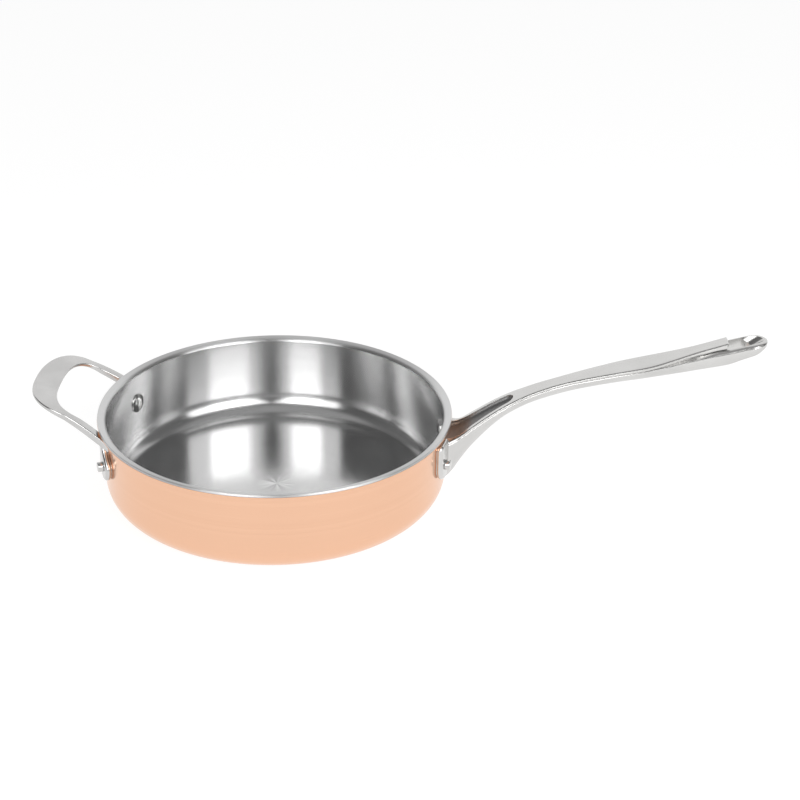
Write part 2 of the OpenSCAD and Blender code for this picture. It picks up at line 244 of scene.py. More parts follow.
def wall_line(depth, edge=0.0):
    """Points on one surface of the wall, from the centre of the base to the end of the lip."""
    corner = WALL_OUT - BASE_R
    points = [(0.0, depth)]
    points += [(r, depth) for r in BASE_RINGS]
    for i in range(CORNER_STEPS + 1):
        a = math.pi / 2 * i / CORNER_STEPS
        points.append((corner + (BASE_R - depth) * math.sin(a),
                       BASE_R - (BASE_R - depth) * math.cos(a)))
    for i in range(1, WALL_STEPS):
        points.append((WALL_OUT - depth, mix(BASE_R, BEND_Z, i / WALL_STEPS)))
    radius = LIP_BEND_R + depth
    turn = math.pi / 2 - LIP_SLOPE
    centre = (WALL_OUT + LIP_BEND_R, BEND_Z)
    for i in range(BEND_STEPS + 1):
        a = math.pi - turn * i / BEND_STEPS
        points.append((centre[0] + radius * math.cos(a), centre[1] + radius * math.sin(a)))
    points.append(lip_point(LIP_RUN - edge, depth))
    return points


def lip_point(run, depth):
    """Point on the sloping lip, at a run along it and a depth in from its outer surface."""
    up = LIP_BEND_R + depth
    return (WALL_OUT + LIP_BEND_R + run * math.cos(LIP_SLOPE) - up * math.sin(LIP_SLOPE),
            BEND_Z + run * math.sin(LIP_SLOPE) + up * math.cos(LIP_SLOPE))


def rounded(a, corner, b, radius, steps):
    """Arc that replaces a corner of an outline."""
    c, p, q = Vector(corner), Vector(a), Vector(b)
    u, v = (p - c).normalized(), (q - c).normalized()
    half = math.acos(max(-1, min(1, u.dot(v)))) / 2
    reach = radius / math.tan(half)
    middle = c + (u + v).normalized() * (radius / math.sin(half))
    start, end = c + u * reach - middle, c + v * reach - middle
    total = start.angle(end)
    result = []
    for i in range(steps + 1):
        t = i / steps
        w = (start * math.sin((1 - t) * total) + end * math.sin(t * total)) / math.sin(total)
        result.append(tuple(middle + w))
    return result


def copper_outline():
    outer = wall_line(0.0)
    inner = wall_line(COPPER_T)
    return outer + inner[::-1]


def lining_outline():
    """The lining is turned over the edge of the core, with rounded edges."""
    inside = wall_line(WALL_T)
    back = wall_line(COPPER_T + CORE_T + GAP, LINING_T)
    top, low = inside[-1], lip_point(LIP_RUN, COPPER_T + GAP)
    corner_in = lip_point(LIP_RUN - LINING_T, COPPER_T + GAP)
    rim = rounded(inside[-2], top, low, RIM_ROUND, 5)
    rim += rounded(top, low, corner_in, RIM_LOW_ROUND, 3)
    return inside[:-1] + rim + [corner_in] + back[::-1]


copper = lathe("copper_shell", copper_outline(), TURNED_STEPS)
lining = lathe("steel_inner", lining_outline(), TURNED_STEPS)
for piece in (copper, lining):
    finish_mesh(piece, TURNED_SHARP)


# Long handle, at stations that are shares of its reach, as in the CAD part

REACH, RISE = 235.0, 71.6
NECK_W, GRIP_W, ROOT_W = 13.6, 21.0, 30.0
ROOT_DEPTH, NECK_DEPTH, DECK_STEP = 27.5, 7.8, 1.8
TROUGH_LEN, TROUGH_DEPTH, TROUGH_TIP = 50.0, 4.2, 5.0
LOOP_W, SLOT_W, SLOT_LEN, LOOP_TIP = 24.0, 16.0, 36.0, 11.0
BEVEL, LEDGE, EDGE_R, TONGUE_GAP = 0.8, 0.8, 0.72, 1.2
ROOT_SPREAD, RAIL_ROOT, RAIL_END = 6.0, 1.2, 3.7
CROWN_H, SCOOP_ANGLE = 1.6, 39.0
FIRST, NECK_AT, GRIP_AT, LOOP_AT, TONGUE_AT = -0.034, 0.332, 0.617, 0.809, 0.877
# Ranges of the reach over which the root flares, the rails, crown and belly change
FLARE_AT, RAIL_AT, CROWN_AT = (-0.002, 0.055), (0.021, 0.085), (0.766, 0.851)
NECK_FULL_AT, TAIL_FULL_AT = (0.021, 0.17), (0.638, TONGUE_AT)
# Fullness of the belly: 2 is an ellipse, and higher values are squarer
ROOT_FULL, NECK_FULL, TAIL_FULL, BELLY_STEPS = 3.4, 2.2, 4.4, 44
CROWN_SHARES, CROWN_END = (0, 0.2, 0.4, 0.56, 0.65, 0.71, 0.77, 0.82, 0.86, 0.89, 0.92), 0.95
TROUGH_LIP, TROUGH_FULL, TROUGH_OUT, TROUGH_DROP, DROP_END = 0.35, 2.9, 0.8, 0.3, 0.17
DECK_ROUND, DECK_SUNK, DECK_FLAT, STATION, TROUGH_STATION = 0.3, 1.0, 0.8, 0.0055, 0.005
TAIL_R = LOOP_W / 2
TAIL_AT, TROUGH_AT = 1 - TAIL_R / REACH, TROUGH_LEN / REACH
TIP_AT = (TROUGH_LEN - TROUGH_TIP) / REACH
DECK_LINE = [[FIRST, -0.205], [0.021, -0.17], [0.04, -0.147], [0.06, -0.102], [0.085, -0.036],
             [0.149, 0.12], [0.213, 0.25], [0.298, 0.382], [0.404, 0.507], [0.532, 0.63],
             [0.66, 0.742], [0.826, 0.93], [TONGUE_AT, 0.99]]
SHOULDER_LINE = [[0.404, 0.507], [0.532, 0.625], [0.66, 0.728], [0.826, 0.89],
                 [TONGUE_AT, 0.934], [0.936, 0.99], [0.97, 1.014], [1, 1.025]]
BELLY_LINE = [[FIRST, -0.56], [0, -0.3], [0.021, -0.1], [0.043, 0.185], [0.064, 0.39],
              [0.089, 0.55], [0.128, 0.72], [0.162, 0.85], [0.196, 0.94], [0.255, 1], [0.34, 1]]
TAIL_LINE = [[0.34, 1], [0.468, 1], [0.766, 1.3], [TONGUE_AT, 1.4], [0.928, 1.18],
             [0.966, 0.95], [0.983, 0.66], [1, 0.34]]
WIDTH_LINE = [[FIRST, 0], [0.047, 0], [0.102, 0.27], [0.153, 0.46], [0.204, 0.67],
              [0.255, 0.86], [NECK_AT, 1]]


def handle_x(s):
    return WALL_OUT + s * REACH


def deck_z(s):
    return PAN_H + RISE * curve(DECK_LINE, s)


def shoulder_z(s):
    return (deck_z(s) if s < SHOULDER_LINE[0][0]
            else PAN_H + RISE * curve(SHOULDER_LINE, s)) - DECK_STEP


def neck_half(s):
    return mix(ROOT_W, NECK_W, curve(WIDTH_LINE, min(s, NECK_AT))) / 2


def deck_half(s):
    if s < NECK_AT:
        return neck_half(s) + ROOT_SPREAD * (1 - soft(*FLARE_AT, s))
    if s < GRIP_AT:
        return mix(NECK_W, GRIP_W, soft(NECK_AT, GRIP_AT, s)) / 2
    return mix(GRIP_W / 2, SLOT_W / 2 - TONGUE_GAP - BEVEL, soft(GRIP_AT, LOOP_AT, s))


def tail_round(s):
    q = min(max(s - TAIL_AT, 0) / (1 - TAIL_AT), 1)
    return math.sqrt(1 - q * q)


def body_half(s):
    wide = (deck_half(s) + BEVEL + LEDGE if s < GRIP_AT
            else mix(GRIP_W / 2 + BEVEL + LEDGE, TAIL_R, soft(GRIP_AT, LOOP_AT, s)))
    return tail_round(s) * wide


def belly_depth(s):
    if s < TAIL_LINE[0][0]:
        return mix(ROOT_DEPTH, NECK_DEPTH, curve(BELLY_LINE, s))
    return NECK_DEPTH * curve(TAIL_LINE, s)


def belly_full(s):
    return (mix(ROOT_FULL, NECK_FULL, soft(*NECK_FULL_AT, s)) if s < NECK_AT
            else mix(NECK_FULL, TAIL_FULL, soft(*TAIL_FULL_AT, s)))


def trough_half(s):
    q = min(max(s - TIP_AT, 0) / (TROUGH_AT - TIP_AT), 1)
    rail = mix(RAIL_ROOT, RAIL_END, soft(*RAIL_AT, s))
    return math.sqrt(1 - q * q) * (neck_half(s) - rail)


def quarter(count):
    return [math.pi / 2 * i / count for i in range(count + 1)]


def loop_side(s, z, w):
    """Half of the body's top, a little higher in the middle of the loop."""
    rise = CROWN_H * soft(*CROWN_AT, s) * tail_round(s)
    return [(u * w, z + rise * (1 - (u / CROWN_END) ** 5) ** 0.7) for u in CROWN_SHARES]


def body_ring(s):
    """Whole cross section, from the middle of the top round the belly and back."""
    x, z, w = handle_x(s), shoulder_z(s), body_half(s)
    e = min(EDGE_R, w / 2)
    d, p = belly_depth(s) - e, 2 / belly_full(s)
    arc = [(w - e + e * math.sin(a), z - e + e * math.cos(a)) for a in quarter(4)]
    belly = []
    for i in range(1, BELLY_STEPS):
        a = math.pi * i / BELLY_STEPS
        c = math.cos(a)
        belly.append((w * math.copysign(abs(c) ** p, c), z - e - d * abs(math.sin(a)) ** p))
    right = loop_side(s, z, w) + arc
    left = [(-y, h) for y, h in reversed(right[1:])]
    return [(x, y, h) for y, h in right + belly + left]


def deck_ring(s, cut=0.0):
    """Raised deck with bevelled edges, cut in a little at its free end."""
    x, top, half = handle_x(s), deck_z(s) - cut, deck_half(s) - cut
    low = shoulder_z(s) - DECK_SUNK
    middle = [(half * DECK_FLAT * i / 6, top) for i in range(6)]
    high, edge, base = (half, top), (half + BEVEL, top - BEVEL), (half + BEVEL, low)
    right = (middle + rounded(middle[-1], high, edge, DECK_ROUND, 2)
             + rounded(high, edge, base, DECK_ROUND, 2) + [base])
    left = [(-y, h) for y, h in reversed(right[1:])]
    return [(x, y, h) for y, h in right + left]


def trough_ring(s):
    """U-shaped cutter whose upper edges turn out a little, to round the rails."""
    x, top, half = handle_x(s), deck_z(s), trough_half(s)
    lip, full = min(TROUGH_LIP, half / 3), 2 / TROUGH_FULL
    deep = TROUGH_DEPTH * (1 + TROUGH_DROP * (1 - soft(0, DROP_END, s))) * min(1, half / 2.5)
    right = [(half * math.sin(a) ** full, top - lip - (deep - lip) * math.cos(a) ** full)
             for a in quarter(14)]
    right += [(half + lip - lip * math.cos(a), top - lip + lip * math.sin(a))
              for a in quarter(4)[1:4]]
    right.append((right[-1][0] + TROUGH_OUT, top + 2))
    left = [(-y, h) for y, h in reversed(right[1:])]
    return [(x, y, h) for y, h in right + left]


def stations(a, b, step):
    """Even stations from a to b, upward or downward, about a step apart."""
    n = max(1, round(abs(b - a) / step))
    return [a + (b - a) * i / n for i in range(n + 1)]


TIP_TURNS = [math.radians(a) for a in range(4, 88, 4)]


def handle_body():
    rings = [body_ring(s) for s in stations(FIRST, TAIL_AT, STATION)]
    rings += [body_ring(mix(TAIL_AT, 1, math.sin(a))) for a in TIP_TURNS]
    return skin("cast_long_handle", rings)


def handle_deck():
    rings = [deck_ring(s) for s in stations(FIRST, TONGUE_AT - BEVEL / REACH, STATION)]
    return skin("deck", rings + [deck_ring(TONGUE_AT, BEVEL)])


def trough_cutter():
    rings = [trough_ring(s) for s in stations(FIRST, TIP_AT, TROUGH_STATION)]
    rings += [trough_ring(mix(TIP_AT, TROUGH_AT, math.sin(a))) for a in TIP_TURNS]
    return skin("trough", rings)


def slot_cutter():
    end = handle_x(1) - LOOP_TIP
    mid, r = end - SLOT_W / 2, SLOT_W / 2
    outline = [(end - SLOT_LEN, -r)]
    outline += [(mid + r * math.sin(a), -r * math.cos(a))
                for a in [math.pi * i / 48 for i in range(49)]]
    outline.append((end - SLOT_LEN, r))
    return skin("slot", [[(x, y, z) for x, y in outline] for z in (PAN_H, PAN_H + RISE + FAR)])


def rod(name, radius, length, matrix, steps=96):
    """Round rod along the Z axis of a matrix."""
    rings = [[matrix @ Vector((radius * math.cos(TURN * k / steps),
                               radius * math.sin(TURN * k / steps), z))
              for k in range(steps)] for z in (0.0, length)]
    return skin(name, rings)


def scoop_cutter():
    back = LOOP_TIP + SLOT_W / 2
    place = Vector((handle_x(1) - back, 0, shoulder_z(1 - back / REACH) + CROWN_H))
    turn = Matrix.Rotation(math.radians(90 - SCOOP_ANGLE), 4, "Y")
    return rod("scoop", SLOT_W / 2, FAR, Matrix.Translation(place) @ turn)


SPACE_STEPS = 512


def pan_space():
    """Space that the pan takes, which the cast parts are cut to."""
    high, below = PAN_H + 20, 5
    under_lip = BEND_Z + LIP_BEND_R * math.cos(LIP_SLOPE) - GAP
    return [rod("wall", WALL_OUT + GAP, high + below,
                Matrix.Translation((0, 0, -below)), SPACE_STEPS),
            rod("rim", RIM_D / 2 + GAP, high - under_lip,
                Matrix.Translation((0, 0, under_lip)), SPACE_STEPS)]


# Feet: outlines seen from outside, bent round the wall, with a full round edge

# Longest step along a foot's outline, turns round its edge, and rings on its back and its face
FOOT_STEP = 1.0
EDGE_TURNS = [math.radians(a) for a in range(-60, 91, 15)]
BACK_SHARES, FACE_SHARES = (0.05, 0.4, 0.75), (0.9, 0.75, 0.6, 0.45, 0.3, 0.15, 0.04)


def dense(outline, step):
    """Closed outline with points added on its long stretches."""
    points = []
    for a, b in zip(outline, outline[1:] + outline[:1]):
        n = max(1, math.ceil(math.dist(a, b) / step))
        points += [(mix(a[0], b[0], i / n), mix(a[1], b[1], i / n)) for i in range(n)]
    return points


def inset(outline, depth):
    """Closed anticlockwise outline moved inward along its normals."""
    moved = []
    for i, (y, z) in enumerate(outline):
        a, b = outline[i - 1], outline[(i + 1) % len(outline)]
        along = Vector((b[0] - a[0], b[1] - a[1])).normalized()
        moved.append((y - along.y * depth, z + along.x * depth))
    return moved


def foot(outline, centre, turn):
    """Foot of even thickness over the wall, with a full round edge."""
    def ring(points, height):
        far = WALL_OUT + height
        return [turn @ Vector((math.sqrt(far * far - y * y), y, z)) for y, z in points]

    def shrunk(points, share):
        return [(mix(centre[0], y, share), mix(centre[1], z, share)) for y, z in points]
    outline = dense(outline, FOOT_STEP)
    r = FOOT_T / 2
    base, top = inset(outline, r * (1 - math.cos(EDGE_TURNS[0]))), inset(outline, r)
    rings = [ring(shrunk(base, k), GAP) for k in BACK_SHARES]
    rings.append(ring(base, GAP))
    rings += [ring(inset(outline, r * (1 - math.cos(a))), r * (1 + math.sin(a)))
              for a in EDGE_TURNS]
    rings += [ring(shrunk(top, k), FOOT_T) for k in FACE_SHARES]
    return skin("foot", rings)


def arc(y, z, radius, start, end, count):
    """Points on a circle about (y, z) from one angle to another, in degrees."""
    return [(y + radius * math.cos(math.radians(mix(start, end, i / count))),
             z + radius * math.sin(math.radians(mix(start, end, i / count))))
            for i in range(count + 1)]


def long_foot(side):
    r, corner, drop, high = 9.5, 4.0, 2.5, 30.0
    mid = side * WALL_OUT * math.sin(math.radians(FOOT_ANGLE))
    low, top = RIVET_Z - drop, RIVET_Z - drop + high - r
    outline = (arc(mid, low, r, 180, 360, 36)
               + arc(mid + r - corner, top - corner, corner, 0, 90, 10)
               + arc(mid - r + corner, top - corner, corner, 90, 180, 10))
    return foot(outline, (mid, (low + top) / 2), Matrix.Identity(4))


long_handle, deck = handle_body(), handle_deck()
combine(long_handle, "DIFFERENCE", slot_cutter(), scoop_cutter(), *pan_space())
combine(deck, "DIFFERENCE", *pan_space())
combine(long_handle, "UNION", deck, long_foot(1), long_foot(-1))
combine(long_handle, "DIFFERENCE", trough_cutter())
finish_mesh(long_handle)
true_normals(long_handle, handle_body(), handle_deck(), long_foot(1), long_foot(-1),
             trough_cutter(), slot_cutter(), scoop_cutter())


# Helper handle

H_REACH, H_RISE, H_W, H_BAR, H_ARM, H_T, H_EXTRA = 52.5, 19.5, 96.0, 19.5, 8.0, 2.4, 2.8
H_LEVEL, H_SWEEP, OUT_MID, IN_MID, OUT_FULL, IN_FULL = 3.5, 1.7, 20.0, 10.0, 2.35, 2.8
ARM_FLARE, ARM_TURN, ARM_END, STRAP_EDGE = 0.19, 26, -16.0, 0.9
H_FOOT_R, H_NECK, H_CENTRE, H_SIDE_STEPS = 11.0, -0.8, 3, 20


def helper_z(s):
    q = max(1 - s / (H_REACH - H_LEVEL), 0)
    return PAN_H + H_RISE * (1 - q ** H_SWEEP)


def loop_edge(t, end, mid, half, full):
    """Point (distance from the wall, y) on an edge of the loop: arms outside 0 to 180."""
    if t < 0 or t > 180:
        u = -t if t < 0 else t - 180
        s = mix(mid, ARM_END, u / ARM_TURN)
        y = half + ARM_FLARE * (mid - s)
        return (s, y if t < 0 else -y)
    a = math.radians(t)
    c = math.cos(a)
    return (mid + (end - mid) * abs(math.sin(a)) ** (2 / full),
            half * math.copysign(abs(c) ** (2 / full), c))


def on_helper(p):
    """Lifts a point of the plan onto the rising strap."""
    return Vector((-WALL_OUT - p[0], p[1], helper_z(p[0])))


def outer_at(t):
    return on_helper(loop_edge(t, H_REACH, OUT_MID, H_W / 2, OUT_FULL))


def inner_at(t):
    return on_helper(loop_edge(t, H_REACH - H_BAR, IN_MID,
                               H_W / 2 + ARM_FLARE * (OUT_MID - IN_MID) - H_ARM, IN_FULL))


def strap_ring(t):
    """Section across the strap, with rounded edges."""
    a, b = inner_at(t), outer_at(t)
    along = (outer_at(t + 1) + inner_at(t + 1) - outer_at(t - 1) - inner_at(t - 1)).normalized()
    out = (b - a).normalized()
    up = along.cross(out).normalized()
    if up.z < 0:
        up = -up
    w = (b - a).length
    s = -WALL_OUT - (a.x + b.x) / 2
    h = H_T + H_EXTRA * (1 - soft(ARM_END / 2, H_REACH - H_BAR / 2, s))
    e = min(STRAP_EDGE, h / 2 - 0.05)
    points = []
    for cx, cy, a0 in ((w - e, -e, 90), (w - e, e - h, 0), (e, e - h, -90), (e, -e, -180)):
        for i in range(6):
            q = math.radians(a0 - 90 * i / 5)
            points.append((cx + e * math.cos(q), cy + e * math.sin(q)))
    return [a + out * x + up * y for x, y in points]


RING_TURNS = (stations(180 + ARM_TURN, 182, 1.5) + stations(180, 0, 1.5)
              + stations(-2, -ARM_TURN, 1.5))


def helper_foot(side):
    """Foot drawn in towards its arm at the top."""
    r, neck, cap = H_FOOT_R, H_NECK, (H_ARM + 1) / 2
    neck_z = BEND_Z - LIP_BEND_R - cap
    outline = arc(0, RIVET_Z, r, 180, 360, 40)
    for i in range(1, H_SIDE_STEPS):
        t = i / H_SIDE_STEPS
        outline.append((mix(r, neck, soft(0, 1, t)), mix(RIVET_Z, neck_z, t)))
    outline += arc(neck - cap, neck_z, cap, 0, 180, 12)
    outline = [(-side * y, z) for y, z in outline]
    if side > 0:
        outline.reverse()
    turn = Matrix.Rotation(math.radians(180 - side * HELPER_ANGLE), 4, "Z")
    return foot(outline, (side * H_CENTRE, RIVET_Z + H_CENTRE), turn)


helper_handle = skin("cast_helper_handle", [strap_ring(t) for t in RING_TURNS])
combine(helper_handle, "DIFFERENCE", *pan_space())
combine(helper_handle, "UNION", helper_foot(1), helper_foot(-1))
finish_mesh(helper_handle)
true_normals(helper_handle, skin("strap", [strap_ring(t) for t in RING_TURNS]),
             helper_foot(1), helper_foot(-1))


# Rivets: a low domed head inside, a shank, and a closed end outside

HEAD_D, HEAD_H, HEAD_EDGE, SHANK_D, TAIL_D, TAIL_H = 15.0, 2.3, 1.0, 6.0, 7.6, 3.8
HEAD_ROUND, TAIL_ROUND, HEAD_SUNK, TAIL_RING, RIVET_STEPS = 0.45, 0.7, 0.25, 1.6, 72


def rivet_frame(angle, side):
    """Turns a rivet from Z to its place in the wall."""
    return (Matrix.Rotation(math.radians(side + angle), 4, "Z")
            @ Matrix.Translation((0, 0, RIVET_Z)) @ Matrix.Rotation(math.pi / 2, 4, "Y"))


def rivet_outline():
    """Half section of a rivet as (radius, distance from the pan's axis)."""
    rise = HEAD_H - HEAD_EDGE
    dome = (HEAD_D ** 2 / 4 + rise ** 2) / (2 * rise)
    base, r = WALL_IN - HEAD_H, HEAD_ROUND
    reach = HEAD_D / 2 - r
    crown = [(reach * i / 16, base + dome - math.sqrt(dome * dome - (reach * i / 16) ** 2))
             for i in range(17)]
    edge = crown[-1][1] + r
    points = crown + [(reach + r * math.sin(a), edge - r * math.cos(a)) for a in quarter(6)[1:]]
    inner, seat = WALL_IN + HEAD_SUNK, WALL_OUT + FOOT_T + GAP
    points += [(HEAD_D / 2, inner), (SHANK_D / 2, inner), (SHANK_D / 2, seat), (TAIL_D / 2, seat)]
    r, top = TAIL_ROUND, seat + TAIL_H
    points += [(TAIL_D / 2 - r + r * math.cos(a), top - r + r * math.sin(a)) for a in quarter(6)]
    return points + [(TAIL_RING, top), (0.0, top)]


def rivets(name, angle, side):
    """The two rivets of one handle."""
    group = bmesh.new()
    for m in (-1, 1):
        one = lathe("rivet", rivet_outline(), RIVET_STEPS)
        one.data.transform(rivet_frame(m * angle, side))
        group.from_mesh(one.data)
        bpy.data.objects.remove(one)
    obj = new_object(name, [], [])
    group.to_mesh(obj.data)
    group.free()
    return finish_mesh(obj, TURNED_SHARP)


long_rivets = rivets("rivets_long", FOOT_ANGLE, 0)
helper_rivets = rivets("rivets_helper", HELPER_ANGLE, 180)


# Materials

def new_material(name):
    material = bpy.data.materials.new(name)
    material.use_nodes = True
    tree = material.node_tree
    shader = tree.nodes["Principled BSDF"]
    shader.inputs["Metallic"].default_value = 1.0
    return material, tree, shader


def node(tree, kind, **values):
    """New node with values for its inputs or its properties."""
    made = tree.nodes.new(kind)
    for key, value in values.items():
        if key in made.inputs:
            made.inputs[key].default_value = value
        else:
            setattr(made, key, value)
    return made


def wire(tree, source, target):
    tree.links.new(source, target)


def ramp(tree, source, low, high):
    """Colour that goes from low to high over the middle part of a noise."""
    made = node(tree, "ShaderNodeValToRGB")
    wire(tree, source, made.inputs["Fac"])
    for key, at, colour in zip(made.color_ramp.elements, NOISE, (low, high)):
        key.position = at
        key.color = (*colour, 1)
    return made


def grey(v):
    return (v, v, v)


def link_math(tree, operation, first, second):
    """Math node with a socket or a number on each side."""
    made = node(tree, "ShaderNodeMath", operation=operation)
    for slot, value in enumerate((first, second)):
        if isinstance(value, (int, float)):
            made.inputs[slot].default_value = value
        else:
            wire(tree, value, made.inputs[slot])
    return made.outputs[0]


def map_range(tree, source, low, high, start, end):
    """Smooth change from start at low to end at high."""
    made = node(tree, "ShaderNodeMapRange", interpolation_type="SMOOTHSTEP")
    for slot, value in enumerate((low, high, start, end)):
        made.inputs[slot + 1].default_value = value
    wire(tree, source, made.inputs["Value"])
    return made.outputs["Result"]


def height_of(tree):
    place = node(tree, "ShaderNodeTexCoord")
    split = node(tree, "ShaderNodeSeparateXYZ")
    wire(tree, place.outputs["Object"], split.inputs[0])
    return split.outputs["Z"]


def radius_of(tree):
    """Distance from the upright axis of the pan."""
    place = node(tree, "ShaderNodeTexCoord")
    flat = node(tree, "ShaderNodeVectorMath", operation="MULTIPLY")
    flat.inputs[1].default_value = (1.0, 1.0, 0.0)
    wire(tree, place.outputs["Object"], flat.inputs[0])
    reach = node(tree, "ShaderNodeVectorMath", operation="LENGTH")
    wire(tree, flat.outputs["Vector"], reach.inputs[0])
    return reach.outputs["Value"]


def turned_lines(tree, scale):
    """Noise that changes with the distance from the pan's axis and with height, not round it."""
    join = node(tree, "ShaderNodeCombineXYZ")
    wire(tree, radius_of(tree), join.inputs["X"])
    wire(tree, height_of(tree), join.inputs["Y"])
    noise = node(tree, "ShaderNodeTexNoise", Scale=scale, Detail=3.0, Roughness=0.6)
    wire(tree, join.outputs[0], noise.inputs["Vector"])
    return noise


def painted_highlight_rays(tree):
    """Rays round the upright axis: a painted highlight standing for the starburst reflection that
    brushing gives at the middle of the floor.
    """
    place = node(tree, "ShaderNodeTexCoord")
    angle = node(tree, "ShaderNodeTexGradient", gradient_type="RADIAL")
    wire(tree, place.outputs["Object"], angle.inputs["Vector"])
    noise = node(tree, "ShaderNodeTexNoise", noise_dimensions="1D", Scale=16.0, Detail=1.0)
    wire(tree, angle.outputs["Fac"], noise.inputs["W"])
    return noise.outputs["Fac"]


def bump(tree, shader, source, strength):
    made = node(tree, "ShaderNodeBump", Strength=strength, Distance=0.0002)
    wire(tree, source, made.inputs["Height"])
    wire(tree, made.outputs[0], shader.inputs["Normal"])


def brushed_round(tree, shader):
    """Brush lines run round the pan, so highlights spread across them."""
    shader.inputs["Anisotropic Rotation"].default_value = 0.25
    tangent = node(tree, "ShaderNodeTangent", direction_type="RADIAL", axis="Z")
    wire(tree, tangent.outputs[0], shader.inputs["Tangent"])


# Heights where the floor turns into the wall and the wall into the rim, and radii of the painted
# highlight star
FLOOR_TO_WALL, WALL_TO_RIM, HIGHLIGHT_STAR_R = (0.004, 0.022), (0.0645, 0.0665), (0.001, 0.017)
# Middle part of a noise, over which a finish changes
NOISE = (0.3, 0.7)
COPPER_DARK, COPPER_PALE = (0.81, 0.495, 0.335), (0.835, 0.52, 0.36)


def spun_steel():
    """Lining: nearly a mirror on its floor, smeared up and down on its wall, with a painted
    highlight star at the middle of its floor.
    """
    material, tree, shader = new_material("spun_steel")
    lines = turned_lines(tree, 1400)
    height = height_of(tree)
    highlight_star_mask = map_range(tree, radius_of(tree), *HIGHLIGHT_STAR_R, 1.0, 0.0)
    shade = link_math(tree, "ADD", map_range(tree, lines.outputs["Fac"], *NOISE, 0.0, 0.04),
                      map_range(tree, height, *WALL_TO_RIM, 0.57, 0.63))
    # Painted highlight: lighter rays in the base colour near the middle of the floor stand for the
    # brushed starburst reflection
    painted_rays = map_range(tree, painted_highlight_rays(tree), 0.42, 0.6, -0.05, 0.16)
    shade = link_math(tree, "ADD", shade, link_math(tree, "MULTIPLY", highlight_star_mask, painted_rays))
    wire(tree, shade, shader.inputs["Base Color"])
    wall = map_range(tree, height, *FLOOR_TO_WALL, 0.18, 0.24)
    rim = map_range(tree, height, *WALL_TO_RIM, 0.0, 0.12)
    grain = map_range(tree, lines.outputs["Fac"], *NOISE, -0.015, 0.015)
    rough = link_math(tree, "ADD", link_math(tree, "ADD", wall, rim), grain)
    wire(tree, rough, shader.inputs["Roughness"])
    wire(tree, map_range(tree, height, *FLOOR_TO_WALL, 0.6, 0.95), shader.inputs["Anisotropic"])
    brushed_round(tree, shader)
    bump(tree, shader, lines.outputs["Fac"], 0.05)
    return material


def satin_copper():
    """Skin: polished copper with fine lines round the pan."""
    material, tree, shader = new_material("satin_copper")
    lines = turned_lines(tree, 900)
    shade = ramp(tree, lines.outputs["Fac"], COPPER_DARK, COPPER_PALE)
    wire(tree, shade.outputs["Color"], shader.inputs["Base Color"])
    rough = ramp(tree, lines.outputs["Fac"], grey(0.17), grey(0.21))
    wire(tree, rough.outputs["Color"], shader.inputs["Roughness"])
    shader.inputs["Anisotropic"].default_value = 0.7
    brushed_round(tree, shader)
    bump(tree, shader, lines.outputs["Fac"], 0.05)
    return material


def cast_finish(name, low, high, side_rough, top_rough, stretch):
    """Metal with fine lines and faint clouds, whose top can be rougher than its sides."""
    material, tree, shader = new_material(name)
    place = node(tree, "ShaderNodeTexCoord")
    turn = node(tree, "ShaderNodeMapping")
    turn.inputs["Scale"].default_value = stretch
    wire(tree, place.outputs["Object"], turn.inputs["Vector"])
    noise = node(tree, "ShaderNodeTexNoise", Scale=900.0, Detail=4.0, Roughness=0.6)
    wire(tree, turn.outputs[0], noise.inputs["Vector"])
    cloud = node(tree, "ShaderNodeTexNoise", Scale=38.0, Detail=3.0)
    wire(tree, place.outputs["Object"], cloud.inputs["Vector"])
    shade = ramp(tree, cloud.outputs["Fac"], low, high)
    wire(tree, shade.outputs["Color"], shader.inputs["Base Color"])
    facing = node(tree, "ShaderNodeNewGeometry")
    split = node(tree, "ShaderNodeSeparateXYZ")
    wire(tree, facing.outputs["Normal"], split.inputs[0])
    level = map_range(tree, split.outputs["Z"], 0.55, 0.85, side_rough, top_rough)
    grain = map_range(tree, noise.outputs["Fac"], *NOISE, -0.02, 0.02)
    wire(tree, link_math(tree, "ADD", level, grain), shader.inputs["Roughness"])
    bump(tree, shader, noise.outputs["Fac"], 0.005)
    return material


def matt_trough_painted_shade():
    """Matt finish of the open trough, its dark grey colour painted shade of the recess."""
    material, tree, shader = new_material("matt_cast_steel_painted_shade")
    place = node(tree, "ShaderNodeTexCoord")
    grain = node(tree, "ShaderNodeTexNoise", Scale=2600.0, Detail=3.0)
    wire(tree, place.outputs["Object"], grain.inputs["Vector"])
    # Painted shade: a dark grey base, far below the cast steel's, stands for the trough lying in
    # shade
    shade = ramp(tree, grain.outputs["Fac"], grey(0.27), grey(0.32))
    wire(tree, shade.outputs["Color"], shader.inputs["Base Color"])
    wire(tree, map_range(tree, grain.outputs["Fac"], *NOISE, 0.42, 0.5),
         shader.inputs["Roughness"])
    bump(tree, shader, grain.outputs["Fac"], 0.08)
    return material


steel = spun_steel()
copper_finish = satin_copper()
cast = cast_finish("satin_cast_steel", (0.60, 0.595, 0.585), (0.65, 0.645, 0.635), 0.21, 0.22,
                   (0.05, 1.0, 1.0))
cast_helper = cast_finish("satin_cast_helper", (0.51, 0.505, 0.50), (0.61, 0.605, 0.60), 0.15,
                          0.22, (1.0, 0.05, 1.0))
matt_painted_shade = matt_trough_painted_shade()
polished = cast_finish("polished_rivet", (0.55, 0.55, 0.54), (0.62, 0.615, 0.61), 0.10, 0.10,
                       (1.0, 1.0, 1.0))
raw_aluminium = cast_finish("rolled_aluminium", (0.78, 0.79, 0.80), (0.84, 0.84, 0.85),
                            0.40, 0.40, (0.3, 0.3, 1.0))


def dress(obj, material):
    obj.data.materials.clear()
    obj.data.materials.append(material)


# Band below the deck, and margin at the sides, in which faces belong to the trough
TROUGH_LOW, TROUGH_TOP, TROUGH_MARGIN = 6.5, 0.4, 0.1


